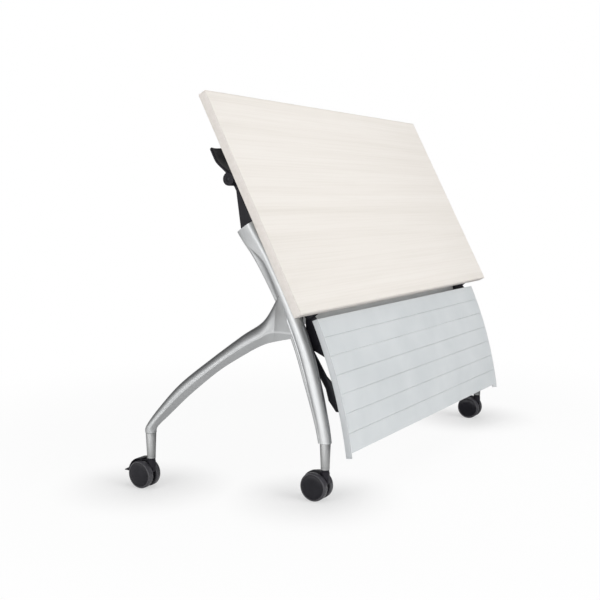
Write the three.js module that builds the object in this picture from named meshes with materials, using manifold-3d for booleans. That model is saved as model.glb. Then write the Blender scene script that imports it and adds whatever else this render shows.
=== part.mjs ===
// Flip top training table, standing on its casters with the top flipped up for nesting.
// Millimetres, +Z up, X along the table, -Y towards the modesty panel, origin on the floor.
import * as THREE from "three";
import { mergeVertices } from "three/addons/utils/BufferGeometryUtils.js";
import Module from "manifold-3d";

const wasm = await Module();
wasm.setup();

// Worktop.
const TOP_LENGTH = 1200;
const TOP_DEPTH = 600;
const TOP_THICK = 23;
const EDGE_BAND = 2;
const USE_HEIGHT = 750;

// Flip axis, measured in the level position of the top.
const PIVOT_DROP = 71;
const PIVOT_FROM_FRONT = 257;
const FLIP_SWING = 62.6;

// Base.
const WHEELBASE = 432;
const FRONT_TRACK = 1024;
const REAR_TRACK = 1312;
const FOOT_LENGTH = 66.7;
const FOOT_R = 13.5;
const FOOT_TAPER = 2.3;
const TENON_R = 8;
const TENON_LENGTH = 14;
const BAR_R = 18;
const WEB_HALF = 10.5;
const SHOULDER = 2;
const SCOOP_SHARE = 0.45;
const SCOOP_DROP_SHARE = 0.7;
const LEG_SHARE = 0.51;
const LEG_OUT = 3;
const LEG_BEHIND = 8;

// Flip joint.
const PIVOT_PIN_R = 6;
const HUB_R = 20;
const ARM_THICK = 20;
const SLOT_PLAY = 1;
const CHEEK_THICK = 11;
const CHEEK_SKIN = 5;
const PLATE_THICK = 6.5;
const PLATE_WIDTH = 50;
const PLATE_BEHIND = 46;

// Release lever.
const LEVER_REACH = 139;
const LEVER_RISE = 22;
const BARREL_R = 17;
const BARREL_WIDTH = 26;
const PADDLE_WIDTH = 50;
const PADDLE_REACH = 90;
const PADDLE_THICK = 8;
const PADDLE_DISH = 3.5;
const PADDLE_DROP = 5;
const PADDLE_BEND_SHARE = 0.7;
const PADDLE_CORNER = 5;
const LEVER_PIN_R = 4;
const PIN_PROUD = 1.5;

// Cross beam between the columns.
const BEAM_R = 17;
const BEAM_WALL = 2.5;
const BEAM_CLEAR = 4.2;
const BEAM_BEHIND = 13;
const FLANGE_R = 22;
const FLANGE_THICK = 5;
const SPIGOT_LENGTH = 25;

// Modesty panel.
const PANEL_INSET = 5;
const PANEL_CHORD = 346;
const PANEL_TILT = 16.4;
const PANEL_BOW = 12.5;
const PANEL_AHEAD = 36.3;
const PANEL_BELOW = 3.8;
const SLATS = 7;
const LAST_SLAT_SHARE = 1.2;
const SLAT_SKIN = 2.2;
const SLAT_LIP = 2;
const SLAT_DEPTH = 10;
const SLAT_CHAMFER = 1.2;
const CAP_DEPTH = 16;
const CAP_THICK = 4;
const CAP_OVERHANG = 2.5;
const HINGE_INSET = 7;
const HINGE_DROP = 28;
const HINGE_R = 10;
const HINGE_PIN_R = 4;
const BRACE_THICK = 6;
const HINGE_ASIDE = 0.6;
const BRACE_FOOT_SHARE = 0.695;
const RAIL_WIDTH = 8;
const STRUT_STANDOFF = 64;
const STRUT_WIDTH = 18;
const STRUT_FOOT = 40;
const EAR_THICK = 5.5;

// Casters.
const WHEEL_R = 36;
const WHEEL_WIDTH = 17;
const WHEEL_SPACING = 12;
const TRAIL = 24;
const CASTER_NECK = 8;
const AXLE_R = 4;
const STEM_R = 5.5;
const STEM_LENGTH = 38;
const NECK_R = 10.5;
const HOOD_RIM = 3;
const HOOD_EYE_R = 17;
const WHEEL_ROOM = 1.5;
const RIM_ROUND = 3.5;
const RIM_STEP = 0.9;
const FACE_THICK = 3.5;
const PEDAL_THICK = 3;
const PEDAL_WIDTH = 30;
const PEDAL_TAB = 16;

// Fits.
const GAP = 0.3;
const RUN = 0.4;
const CLEAR = 5;
const SINK = 1;
const SOFT_EDGE = 1.5;

const rad = THREE.MathUtils.degToRad;
const PIVOT_Z = USE_HEIGHT - TOP_THICK - PIVOT_DROP;
const UNDERSIDE = PIVOT_DROP;
const FRONT_EDGE = -PIVOT_FROM_FRONT;
const HINGE_Y = FRONT_EDGE + HINGE_INSET;
const HINGE_Z = UNDERSIDE - HINGE_DROP;
const FOOT_GROUND = 2 * WHEEL_R + CASTER_NECK;
const FOOT_TOP = FOOT_GROUND + FOOT_LENGTH;
const HEAD_HALF = ARM_THICK / 2 + SLOT_PLAY + CHEEK_THICK;
const CHEEK_REACH = HEAD_HALF - CHEEK_SKIN;
const HOOD_R = WHEEL_R + HOOD_RIM;
const PANEL_LENGTH = FRONT_TRACK - 2 * PANEL_INSET;

function paint(color, roughness, metalness) {
  return new THREE.MeshStandardMaterial({ color, roughness, metalness });
}
const LAMINATE = paint(0xece8e1, 0.45, 0);
const EDGING = paint(0xd8d0c8, 0.5, 0);
const CASTING = paint(0xb9bcbe, 0.32, 0.9);
const SATIN = paint(0x9c9f9f, 0.35, 0.95);
const SILVER = paint(0xc3c8cb, 0.42, 0.6);
const STEEL = paint(0xa8abae, 0.3, 1);
const DARK_STEEL = paint(0x3a3b3f, 0.4, 1);
const BLACK = paint(0x1c1c20, 0.45, 0);
const TREAD = paint(0x202023, 0.35, 0);

function solid(geometry) {
  const bare = new THREE.BufferGeometry();
  bare.setAttribute("position", geometry.getAttribute("position"));
  bare.setIndex(geometry.index);
  const joined = mergeVertices(bare, 1e-4);
  return new wasm.Manifold(
    new wasm.Mesh({
      numProp: 3,
      vertProperties: joined.attributes.position.array,
      triVerts: new Uint32Array(joined.index.array),
    }),
  );
}

function toGeometry(body) {
  const raw = body.getMesh();
  const geometry = new THREE.BufferGeometry();
  geometry.setAttribute("position", new THREE.BufferAttribute(raw.vertProperties, 3));
  geometry.setIndex(new THREE.BufferAttribute(raw.triVerts, 1));
  return geometry;
}

function piece(name, shape, material) {
  const indexed = shape.isBufferGeometry ? shape : toGeometry(shape);
  const geometry = indexed.index ? indexed.toNonIndexed() : indexed;
  geometry.computeVertexNormals();
  const mesh = new THREE.Mesh(geometry, material);
  mesh.name = name;
  return mesh;
}

// Turns a drawing in X and Y into one in Y and Z, with its depth along X.
const SIDEWAYS = new THREE.Matrix4().makeBasis(
  new THREE.Vector3(0, 1, 0),
  new THREE.Vector3(0, 0, 1),
  new THREE.Vector3(1, 0, 0),
);

// A side profile of [y, z] points, from x to x + depth.
function slab(points, x, depth) {
  const drawn = points instanceof THREE.Shape;
  const shape = drawn ? points : new THREE.Shape(points.map(([y, z]) => new THREE.Vector2(y, z)));
  const geometry = new THREE.ExtrudeGeometry(shape, { depth, bevelEnabled: false, curveSegments: 10 });
  return geometry.applyMatrix4(SIDEWAYS).translate(x, 0, 0);
}

// A round bar along X from x to x + length, centred on y and z.
function rod(radius, x, length, y, z, sides = 20) {
  const geometry = new THREE.CylinderGeometry(radius, radius, length, sides);
  return geometry.rotateZ(Math.PI / 2).translate(x + length / 2, y, z);
}

function box(x0, x1, y0, y1, z0, z1) {
  const geometry = new THREE.BoxGeometry(x1 - x0, y1 - y0, z1 - z0);
  return geometry.translate((x0 + x1) / 2, (y0 + y1) / 2, (z0 + z1) / 2);
}

// A turned piece about Z from [radius, height] points.
function turned(points, sides = 18) {
  const profile = points.map(([r, z]) => new THREE.Vector2(r, z));
  return new THREE.LatheGeometry(profile, sides).rotateX(Math.PI / 2);
}

// A closed skin over rings of equal point count, capped at both ends.
function loft(rings) {
  const count = rings[0].length;
  const positions = rings.flat().flatMap((p) => [p.x, p.y, p.z]);
  const index = [];
  for (let i = 0; i + 1 < rings.length; i += 1) {
    for (let j = 0; j < count; j += 1) {
      const a = i * count + j;
      const b = i * count + ((j + 1) % count);
      index.push(a, b, b + count, a, b + count, a + count);
    }
  }
  for (const [ring, flip] of [[0, true], [rings.length - 1, false]]) {
    const middle = new THREE.Vector3();
    rings[ring].forEach((p) => middle.addScaledVector(p, 1 / count));
    const centre = positions.length / 3;
    positions.push(middle.x, middle.y, middle.z);
    for (let j = 0; j < count; j += 1) {
      const a = ring * count + j;
      const b = ring * count + ((j + 1) % count);
      index.push(centre, flip ? b : a, flip ? a : b);
    }
  }
  const geometry = new THREE.BufferGeometry();
  geometry.setAttribute("position", new THREE.Float32BufferAttribute(positions, 3));
  geometry.setIndex(index);
  return geometry;
}

// A smooth run through rows of numbers, read at a share of the way from the first row to the last.
function blend(rows, share) {
  const place = share * (rows.length - 1);
  const i = Math.min(Math.floor(place), rows.length - 2);
  const row = (k) => rows[THREE.MathUtils.clamp(k, 0, rows.length - 1)];
  return rows[i].map((_, c) => {
    const near = [-1, 0, 1, 2].map((k) => new THREE.Vector2(k, row(i + k)[c]));
    return new THREE.SplineCurve(near).getPoint((place - i + 1) / 3).y;
  });
}

function shares(count) {
  return Array.from({ length: count + 1 }, (_, i) => i / count);
}

// Column from foot to mouth: share of the way back to the flip axis, share of the way up to it,
// radius of the front bar, half widths of the rear web at root and tail, its reach, where the bar ends.
const COLUMN = [
  [0, 0, 1.19 * FOOT_R, 1.15 * FOOT_R, 1.15 * FOOT_R, 1.22 * FOOT_R, 0.25 * BAR_R],
  [0.04, 0.1, 0.9 * BAR_R, 1.24 * WEB_HALF, 1.1 * WEB_HALF, 2 * WEB_HALF, 0.54 * BAR_R],
  [0.152, 0.29, 0.98 * BAR_R, WEB_HALF, 0.8 * WEB_HALF, 1.55 * BAR_R, 0.79 * BAR_R],
  [0.297, 0.48, BAR_R, 1.05 * WEB_HALF, 0.75 * WEB_HALF, 1.65 * BAR_R, 0.81 * BAR_R],
  [0.51, 0.68, BAR_R, 1.25 * WEB_HALF, 0.6 * WEB_HALF, 1.8 * BAR_R, 0.7 * BAR_R],
  [0.74, 0.86, BAR_R, 1.35 * WEB_HALF, 0.55 * WEB_HALF, 1.8 * HUB_R, 0.4 * BAR_R],
  [0.9, 0.97, 0.96 * HEAD_HALF, 0.64 * HEAD_HALF, 0.62 * HEAD_HALF, 1.92 * HUB_R, 1.65 * BAR_R],
  [1, 1.04, HEAD_HALF, 0.74 * HEAD_HALF, 0.72 * HEAD_HALF, 2 * HUB_R, 1.9 * BAR_R],
];
const COLUMN_RINGS = 28;
const CUFF_FROM_SHARE = 0.62;
const CUFF_TO_SHARE = 0.8;
const CUFF_FLAT_SHARE = 0.75;
const COLUMN_X = -FRONT_TRACK / 2;

function columnAt(share) {
  const [back, up, radius, half, tail, reach, edge] = blend(COLUMN, share);
  const y = (back - 1) * (WHEELBASE / 2);
  const z = FOOT_TOP + up * (PIVOT_Z - FOOT_TOP);
  return { centre: new THREE.Vector3(COLUMN_X, y, z), radius, half, tail, reach, edge };
}

// The column stands square on its foot.
function columnTangent(share) {
  if (share === 0) return new THREE.Vector3(0, 0, 1);
  const step = 0.5 / COLUMN_RINGS;
  const ahead = columnAt(Math.min(share + step, 1)).centre;
  return ahead.sub(columnAt(Math.max(share - step, 0)).centre).normalize();
}

// The column's cross section: a round bar in front, flat-sided in the head, and a tapered web behind.
function columnRing(share, grow) {
  const { centre, radius, half, tail, reach, edge } = columnAt(share);
  const along = columnTangent(share);
  const rearward = new THREE.Vector3(0, along.z, -along.y);
  const flat = CUFF_FLAT_SHARE * THREE.MathUtils.smoothstep(share, CUFF_FROM_SHARE, CUFF_TO_SHARE);
  const bar = radius + grow;
  const web = half + grow;
  const last = Math.acos(-Math.min(edge / bar, 0.95));
  const side = shares(7).slice(1).map((t) => {
    const turn = last * t;
    const behind = turn > Math.PI / 2;
    const u = behind ? (edge * Math.cos(turn)) / Math.cos(last) : -bar * Math.cos(turn);
    const w = bar * Math.sin(turn);
    return [u, behind ? THREE.MathUtils.lerp(w, bar, flat) : w];
  });
  const shoulder = edge + SHOULDER;
  const end = tail + grow;
  const nose = 0.98 * Math.min(end, reach + grow - shoulder - GAP);
  const scoop = THREE.MathUtils.lerp(shoulder, reach + grow - nose, SCOOP_SHARE);
  side.push([shoulder, web]);
  side.push([scoop, THREE.MathUtils.lerp(web, end, SCOOP_DROP_SHARE)]);
  for (const turn of [0, rad(30), rad(60)]) {
    side.push([reach + grow - nose + nose * Math.sin(turn), end * Math.cos(turn)]);
  }
  const outline = [[-bar, 0], ...side, [reach + grow, 0], ...side.map(([u, w]) => [u, -w]).reverse()];
  return outline.map(([u, w]) => centre.clone().addScaledVector(rearward, u).setX(COLUMN_X + w));
}

function columnBody(grow) {
  return solid(loft(shares(COLUMN_RINGS).map((share) => columnRing(share, grow))));
}

function footSocket(x, y) {
  const geometry = new THREE.CylinderGeometry(TENON_R + GAP, TENON_R + GAP, 2 * (TENON_LENGTH + GAP), 16);
  return solid(geometry.rotateX(Math.PI / 2).translate(x, y, FOOT_TOP));
}

function column(name) {
  const mouth = columnAt(1).centre;
  const along = columnTangent(1);
  const toPivot = new THREE.Vector3(0, mouth.y, mouth.z - PIVOT_Z).dot(along);
  const depth = toPivot + HUB_R + 2 * SLOT_PLAY;
  const slot = new THREE.BoxGeometry(ARM_THICK + 2 * SLOT_PLAY, 8 * HUB_R, 2 * depth);
  slot.rotateX(-Math.atan2(along.y, along.z)).translate(mouth.x, mouth.y, mouth.z);
  const bore = rod(PIVOT_PIN_R + GAP, COLUMN_X - CHEEK_REACH, 4 * HEAD_HALF, 0, PIVOT_Z);
  const body = columnBody(0).subtract(solid(slot)).subtract(solid(bore));
  return piece(name, body.subtract(footSocket(COLUMN_X, -WHEELBASE / 2)), CASTING);
}

// Rear leg from root to foot: upper outline as shares of the way out and up, lower outline
// likewise, half width, height of the ridge.
const LEG = [
  [0.06, 1.24, -0.07, 0.84, BAR_R, 0.03],
  [0.1, 1.14, 0.11, 0.8, BAR_R, 0.235],
  [0.19, 0.965, 0.2, 0.765, BAR_R, 0.36],
  [0.34, 0.84, 0.32, 0.685, 0.92 * BAR_R, 0.43],
  [0.56, 0.64, 0.5, 0.545, 1.15 * FOOT_R, 0.43],
  [0.78, 0.425, 0.705, 0.34, 1.07 * FOOT_R, 0.45],
  [0.94, 0.21, 0.86, 0.16, 1.04 * FOOT_R, 0.47],
  [1.03, 0.06, 0.95, 0.05, 1.04 * FOOT_R, 0.5],
  [1.04, 0, 0.96, 0, 1.04 * FOOT_R, 0.5],
];
const LEG_RINGS = 24;
const KEEL_SHARE = 0.45;
const CREASE_SHARE = 1 / 8;
const CREASE_ROOT_SHARE = 0.1;
const LEG_ROOT = columnAt(LEG_SHARE).centre.add(new THREE.Vector3(-LEG_OUT, LEG_BEHIND, 0));
const LEG_RISE = LEG_ROOT.z - FOOT_TOP;

// Half of the leg's section, bottom to top: a flat keel, a bevel out to the ridge, a back that is
// straight at the root and round further out.
function keel(ridge, straight) {
  const bevel = [[0, 0], [0, KEEL_SHARE], [ridge / 2, (1 + KEEL_SHARE) / 2], [ridge, 1]];
  const back = shares(6).slice(1).map((t) => {
    const turn = (t * Math.PI) / 2;
    const height = Math.sin(turn);
    return [ridge + (1 - ridge) * height, THREE.MathUtils.lerp(Math.cos(turn), 1 - height, straight)];
  });
  return [...bevel, ...back];
}

function legRing(share) {
  const [outU, upU, outL, upL, width, ridge] = blend(LEG, share);
  const half = width * THREE.MathUtils.lerp(CREASE_ROOT_SHARE, 1, Math.min(share / CREASE_SHARE, 1));
  const run = new THREE.Vector3(-REAR_TRACK / 2 - LEG_ROOT.x, WHEELBASE / 2 - LEG_ROOT.y, 0);
  const sideways = new THREE.Vector3(-run.y, run.x, 0).normalize();
  const at = (out, up) => run.clone().multiplyScalar(out).add(LEG_ROOT).setZ(FOOT_TOP + up * LEG_RISE);
  const upper = at(outU, upU);
  const lower = at(outL, upL);
  const straight = 1 - THREE.MathUtils.smoothstep(share, 0, 0.2);
  const round = THREE.MathUtils.smoothstep(share, 0.75, 1);
  const side = keel(ridge, straight).map(([height, spread], k, all) => {
    const turn = (Math.PI * k) / (all.length - 1);
    const t = THREE.MathUtils.lerp(height, 0.5 - 0.5 * Math.cos(turn), round);
    return [t, half * THREE.MathUtils.lerp(spread, Math.sin(turn), round)];
  });
  const back = side.slice(1, -1).map(([t, w]) => [t, -w]).reverse();
  return [...side, ...back].map(([t, w]) => lower.clone().lerp(upper, t).addScaledVector(sideways, w));
}

function rearLeg(name) {
  const whole = solid(loft(shares(LEG_RINGS).map(legRing)));
  const trimmed = whole.subtract(columnBody(GAP)).subtract(footSocket(-REAR_TRACK / 2, WHEELBASE / 2));
  const body = trimmed.decompose().reduce((most, part) => (part.volume() > most.volume() ? part : most));
  return piece(name, body, CASTING);
}

// Tapered foot tube with its tenon above and the bore for the caster stem below.
function foot(name, x, y) {
  const bore = STEM_R + GAP;
  const top = FOOT_LENGTH - GAP;
  const shape = turned([
    [bore, 0],
    [FOOT_R - FOOT_TAPER, 0],
    [FOOT_R - FOOT_TAPER, top / 8],
    [FOOT_R, top - SOFT_EDGE],
    [FOOT_R - SOFT_EDGE, top],
    [TENON_R, top],
    [TENON_R, top + TENON_LENGTH],
    [0, top + TENON_LENGTH],
    [0, STEM_LENGTH + STEM_R],
    [bore, STEM_LENGTH + SINK],
    [bore, 0],
  ]);
  const mesh = piece(name, shape, SATIN);
  mesh.position.set(x, y, FOOT_GROUND);
  return mesh;
}

function pivotPin(name) {
  const start = COLUMN_X - CHEEK_REACH + GAP;
  return piece(name, rod(PIVOT_PIN_R, start, 2 * CHEEK_REACH, 0, PIVOT_Z), STEEL);
}

// Share of the column at which its middle line comes to a place front to back.
function columnShareAt(y) {
  let low = 0;
  let high = 1;
  for (let i = 0; i < 40; i += 1) {
    const middle = (low + high) / 2;
    if (columnAt(middle).centre.y < y) low = middle;
    else high = middle;
  }
  return low;
}

// The beam passes behind the panel hinge of the flipped top.
const HINGE_REST_Y = HINGE_Y * Math.cos(rad(FLIP_SWING)) - HINGE_Z * Math.sin(rad(FLIP_SWING));
const BEAM_Y = HINGE_REST_Y + HINGE_R + BEAM_CLEAR + FLANGE_R;
const BEAM_POST = columnAt(columnShareAt(BEAM_Y - BEAM_BEHIND));
const BEAM_END = COLUMN_X + BEAM_POST.radius + FLANGE_THICK + 2 * GAP;

function beamBar(radius, start, end) {
  return solid(rod(radius, start, end - start, BEAM_Y, BEAM_POST.centre.z, 24));
}

function beam(name) {
  const inner = beamBar(BEAM_R - BEAM_WALL, BEAM_END - CLEAR, -BEAM_END + CLEAR);
  return piece(name, beamBar(BEAM_R, BEAM_END, -BEAM_END).subtract(inner), CASTING);
}

// Flange on the inner side of a column, with a spigot inside the beam.
function beamFlange(name) {
  const start = COLUMN_X + BEAM_POST.tail;
  const disc = beamBar(FLANGE_R, start, BEAM_END - GAP);
  const spigot = beamBar(BEAM_R - BEAM_WALL - GAP, start, BEAM_END + SPIGOT_LENGTH);
  return piece(name, disc.add(spigot).subtract(columnBody(GAP)), BLACK);
}

const STEM_FOOT = WHEEL_R + 4 * AXLE_R;

function casterStem(name) {
  const stem = turned([
    [0, STEM_FOOT],
    [STEM_R, STEM_FOOT],
    [STEM_R, FOOT_GROUND + STEM_LENGTH - SOFT_EDGE],
    [STEM_R - SOFT_EDGE, FOOT_GROUND + STEM_LENGTH],
    [0, FOOT_GROUND + STEM_LENGTH],
  ], 16);
  return piece(name, stem, STEEL);
}

// Room for a wheel beside the hood's web.
function wheelRoom(side) {
  const width = 2 * WHEEL_WIDTH;
  const start = side * (WHEEL_SPACING / 2 - RUN + width / 2) - width / 2;
  return solid(rod(WHEEL_R + WHEEL_ROOM, start, width, TRAIL, WHEEL_R, 24));
}

// Hood of a caster: a web between the wheels, a rim over them and a neck round the stem.
function casterHood(name) {
  const web = WHEEL_SPACING - 5 * RUN;
  const neckTop = FOOT_GROUND - GAP;
  const outline = new THREE.Shape();
  outline.absarc(TRAIL, WHEEL_R, HOOD_R, rad(20), rad(118), false);
  outline.lineTo(-NECK_R, neckTop - 0.6 * NECK_R);
  outline.lineTo(-NECK_R, WHEEL_R + 1.35 * NECK_R);
  outline.absarc(TRAIL, WHEEL_R, HOOD_EYE_R, rad(180), rad(320), false);
  const plate = solid(slab(outline, -web / 2, web));
  const neck = solid(turned([
    [0, WHEEL_R + 0.75 * NECK_R],
    [0.8 * NECK_R, WHEEL_R + 0.75 * NECK_R],
    [NECK_R, WHEEL_R + 1.15 * NECK_R],
    [NECK_R, neckTop - SOFT_EDGE],
    [NECK_R - SOFT_EDGE, neckTop],
    [0, neckTop],
  ]));
  const stemBore = solid(turned([
    [0, STEM_FOOT - GAP],
    [STEM_R + GAP, STEM_FOOT - GAP],
    [STEM_R + GAP, FOOT_GROUND + CLEAR],
    [0, FOOT_GROUND + CLEAR],
  ], 16));
  const axleBore = solid(rod(AXLE_R + GAP, -WHEEL_SPACING, 2 * WHEEL_SPACING, TRAIL, WHEEL_R, 16));
  const cuts = [wheelRoom(1), wheelRoom(-1), stemBore, axleBore];
  return piece(name, cuts.reduce((body, cut) => body.subtract(cut), plate.add(neck)), BLACK);
}

function casterAxle(name) {
  const length = WHEEL_SPACING + 2 * (WHEEL_WIDTH - FACE_THICK) - SINK;
  return piece(name, rod(AXLE_R, -length / 2, length, TRAIL, WHEEL_R, 16), STEEL);
}

// One of the twin wheels: a tread, a rim groove and a nearly flat face over the axle's end.
function casterWheel(name, side) {
  const bore = AXLE_R + RUN;
  const shape = turned([
    [bore, 0],
    [WHEEL_R - SOFT_EDGE, 0],
    [WHEEL_R, SOFT_EDGE],
    [WHEEL_R, WHEEL_WIDTH - RIM_ROUND],
    [WHEEL_R - 0.3 * RIM_ROUND, WHEEL_WIDTH - 0.4 * RIM_ROUND],
    [WHEEL_R - RIM_ROUND, WHEEL_WIDTH],
    [WHEEL_R - 1.4 * RIM_ROUND, WHEEL_WIDTH],
    [WHEEL_R - 1.6 * RIM_ROUND, WHEEL_WIDTH - RIM_STEP],
    [0, WHEEL_WIDTH - RIM_STEP / 3],
    [0, WHEEL_WIDTH - FACE_THICK],
    [bore, WHEEL_WIDTH - FACE_THICK],
    [bore, 0],
  ], 24);
  const wheel = piece(name, shape, TREAD);
  wheel.rotation.y = (side * Math.PI) / 2;
  wheel.position.set((side * WHEEL_SPACING) / 2, TRAIL, WHEEL_R);
  return wheel;
}

// Brake pedal: a strip that slides round the hood, with a tab for the toe.
function brakePedal(name) {
  const inner = HOOD_R + RUN;
  const tip = TRAIL + inner + PEDAL_TAB;
  const low = WHEEL_R + inner * Math.sin(rad(5));
  const outline = new THREE.Shape();
  outline.absarc(TRAIL, WHEEL_R, inner, rad(96), rad(5), true);
  outline.lineTo(tip - SINK, low);
  outline.lineTo(tip, low + 0.6 * PEDAL_THICK);
  outline.lineTo(tip - 0.7 * PEDAL_TAB, low + 2.4 * PEDAL_THICK);
  outline.absarc(TRAIL, WHEEL_R, inner + PEDAL_THICK, rad(18), rad(96), false);
  return piece(name, slab(outline, -PEDAL_WIDTH / 2, PEDAL_WIDTH), BLACK);
}

function caster(name, x, y, braked) {
  const group = new THREE.Group();
  group.position.set(x, y, 0);
  group.add(casterStem(name + "_stem"), casterHood(name + "_hood"), casterAxle(name + "_axle"));
  group.add(casterWheel(name + "_wheel_inner", 1), casterWheel(name + "_wheel_outer", -1));
  if (braked) group.add(brakePedal(name + "_pedal"));
  return group;
}

// Pieces carried by the top, drawn with the top level and the flip axis at the origin.

const BACK_EDGE = FRONT_EDGE + TOP_DEPTH;

// The outline of the top drawn in by an inset, from below to above.
function topBox(inset, below, above) {
  const half = TOP_LENGTH / 2 - inset;
  return box(-half, half, FRONT_EDGE + inset, BACK_EDGE - inset, below, above);
}

function worktop() {
  return piece("worktop", topBox(EDGE_BAND + GAP, UNDERSIDE, UNDERSIDE + TOP_THICK), LAMINATE);
}

// Edge band: a thin frame round the worktop with rounded corners.
function edgeBand() {
  const half = TOP_LENGTH / 2 - EDGE_BAND;
  const front = FRONT_EDGE + EDGE_BAND;
  const back = BACK_EDGE - EDGE_BAND;
  const outline = new THREE.Shape();
  outline.absarc(half, front, EDGE_BAND, rad(-90), 0, false);
  outline.absarc(half, back, EDGE_BAND, 0, rad(90), false);
  outline.absarc(-half, back, EDGE_BAND, rad(90), rad(180), false);
  outline.absarc(-half, front, EDGE_BAND, rad(180), rad(270), false);
  const upright = { depth: TOP_THICK, bevelEnabled: false, curveSegments: 3 };
  const sheet = new THREE.ExtrudeGeometry(outline, upright);
  const inside = topBox(EDGE_BAND, UNDERSIDE - CLEAR, UNDERSIDE + TOP_THICK + CLEAR);
  return piece("edge_band", solid(sheet.translate(0, 0, UNDERSIDE)).subtract(solid(inside)), EDGING);
}

// A round bar along X on the lever's axis.
function leverRod(radius, start, end, sides = 16) {
  return solid(rod(radius, start, end - start, LEVER_REACH, LEVER_RISE, sides));
}

// Hinge arm: a plate under the top, a tapered web and a hub between the column's cheeks.
function hingeArm(name) {
  const x = COLUMN_X - ARM_THICK / 2;
  const plateLow = UNDERSIDE - GAP - PLATE_THICK;
  const web = solid(slab([
    [-0.84 * HUB_R, 0.5 * HUB_R],
    [-0.4 * HUB_R, -0.9 * HUB_R],
    [0.25 * HUB_R, -0.965 * HUB_R],
    [1.1 * HUB_R, -0.9 * HUB_R],
    [0.8 * LEVER_REACH, LEVER_RISE - 0.53 * BARREL_R],
    [LEVER_REACH + 0.12 * BARREL_R, LEVER_RISE - 0.65 * BARREL_R],
    [LEVER_REACH + 0.65 * BARREL_R, LEVER_RISE - 0.18 * BARREL_R],
    [LEVER_REACH + 0.76 * BARREL_R, LEVER_RISE + 0.7 * BARREL_R],
    [LEVER_REACH + 0.8 * PLATE_BEHIND, plateLow + SINK],
    [-0.25 * HUB_R, plateLow + SINK],
  ], x, ARM_THICK));
  const hub = solid(rod(HUB_R, x, ARM_THICK, 0, 0, 32));
  const plateX = [COLUMN_X - PLATE_WIDTH / 2, COLUMN_X + PLATE_WIDTH / 2];
  const plate = solid(box(...plateX, -1.6 * HUB_R, LEVER_REACH + PLATE_BEHIND, plateLow, UNDERSIDE - GAP));
  const bore = solid(rod(PIVOT_PIN_R + RUN, x - CLEAR, ARM_THICK + 2 * CLEAR, 0, 0));
  const leverBore = leverRod(LEVER_PIN_R + GAP, x - CLEAR, x + ARM_THICK + CLEAR);
  return piece(name, web.add(hub).add(plate).subtract(bore).subtract(leverBore), BLACK);
}

const LEVER_X = COLUMN_X - ARM_THICK / 2 - RUN;

// Cross section of the lever's paddle, at a share of the way out to its rounded tip.
function paddleRing(share) {
  const spread = THREE.MathUtils.smoothstep(share, 0.15, 0.6);
  const past = Math.max(0, 1 - ((1 - share) * PADDLE_REACH) / PADDLE_CORNER);
  const corner = 1 - Math.sqrt(1 - past * past);
  const half = THREE.MathUtils.lerp(BARREL_WIDTH, PADDLE_WIDTH, spread) / 2 - PADDLE_CORNER * corner;
  const thick = (PADDLE_THICK / 2) * (1 - 0.4 * corner);
  const drop = PADDLE_DROP * Math.cos(Math.PI * Math.min(share / PADDLE_BEND_SHARE, 1));
  const across = [-1, -0.5, 0, 0.5, 1];
  const at = (u, side) => new THREE.Vector3(
    LEVER_X - BARREL_WIDTH / 2 + u * half,
    LEVER_REACH + PADDLE_REACH * share,
    LEVER_RISE + drop + side * thick - PADDLE_DISH * spread * (1 - u * u),
  );
  return [...across.toReversed().map((u) => at(u, -1)), ...across.map((u) => at(u, 1))];
}

function lever(name) {
  const end = LEVER_X - BARREL_WIDTH;
  const barrel = leverRod(BARREL_R, end, LEVER_X, 24);
  const bore = leverRod(LEVER_PIN_R + RUN, end - CLEAR, LEVER_X + CLEAR);
  const paddle = solid(loft(shares(9).map((t) => paddleRing(Math.sin((t * Math.PI) / 2)))));
  return piece(name, barrel.add(paddle).subtract(bore), BLACK);
}

function leverPin(name) {
  const start = LEVER_X - BARREL_WIDTH + PIN_PROUD;
  return piece(name, leverRod(LEVER_PIN_R, start, COLUMN_X + ARM_THICK / 2 + PIN_PROUD), DARK_STEEL);
}

// The panel hinge stands beside the column's bar.
const OUTER_EAR = COLUMN_X + BAR_R + HINGE_ASIDE + PIN_PROUD;
const BRACE_X = OUTER_EAR + EAR_THICK + RUN + BRACE_THICK / 2;
const INNER_EAR = BRACE_X + BRACE_THICK / 2 + RUN;

// Panel hinge: a plate under the top's front edge with an ear on each side of the brace.
function panelHinge(name) {
  const base = UNDERSIDE - GAP - PLATE_THICK;
  const front = HINGE_Y - 0.5 * HINGE_R;
  const profile = [
    [front, base + SINK],
    [HINGE_Y - HINGE_R, HINGE_Z],
    [front, HINGE_Z - 0.85 * HINGE_R],
    [HINGE_Y + 0.5 * HINGE_R, HINGE_Z - 0.85 * HINGE_R],
    [HINGE_Y + HINGE_R, HINGE_Z],
    [HINGE_Y + 2 * HINGE_R, base + SINK],
  ];
  const end = INNER_EAR + EAR_THICK;
  const plate = solid(box(OUTER_EAR, end, front, HINGE_Y + 4 * HINGE_R, base, UNDERSIDE - GAP));
  const ears = [OUTER_EAR, INNER_EAR].map((x) => solid(slab(profile, x, EAR_THICK)));
  const bore = rod(HINGE_PIN_R + GAP, OUTER_EAR - CLEAR, end - OUTER_EAR + 2 * CLEAR, HINGE_Y, HINGE_Z, 16);
  return piece(name, plate.add(ears[0]).add(ears[1]).subtract(solid(bore)), BLACK);
}

function panelPin(name) {
  const start = OUTER_EAR - PIN_PROUD;
  const length = INNER_EAR + EAR_THICK + PIN_PROUD - start;
  return piece(name, rod(HINGE_PIN_R, start, length, HINGE_Y, HINGE_Z, 16), DARK_STEEL);
}

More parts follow.
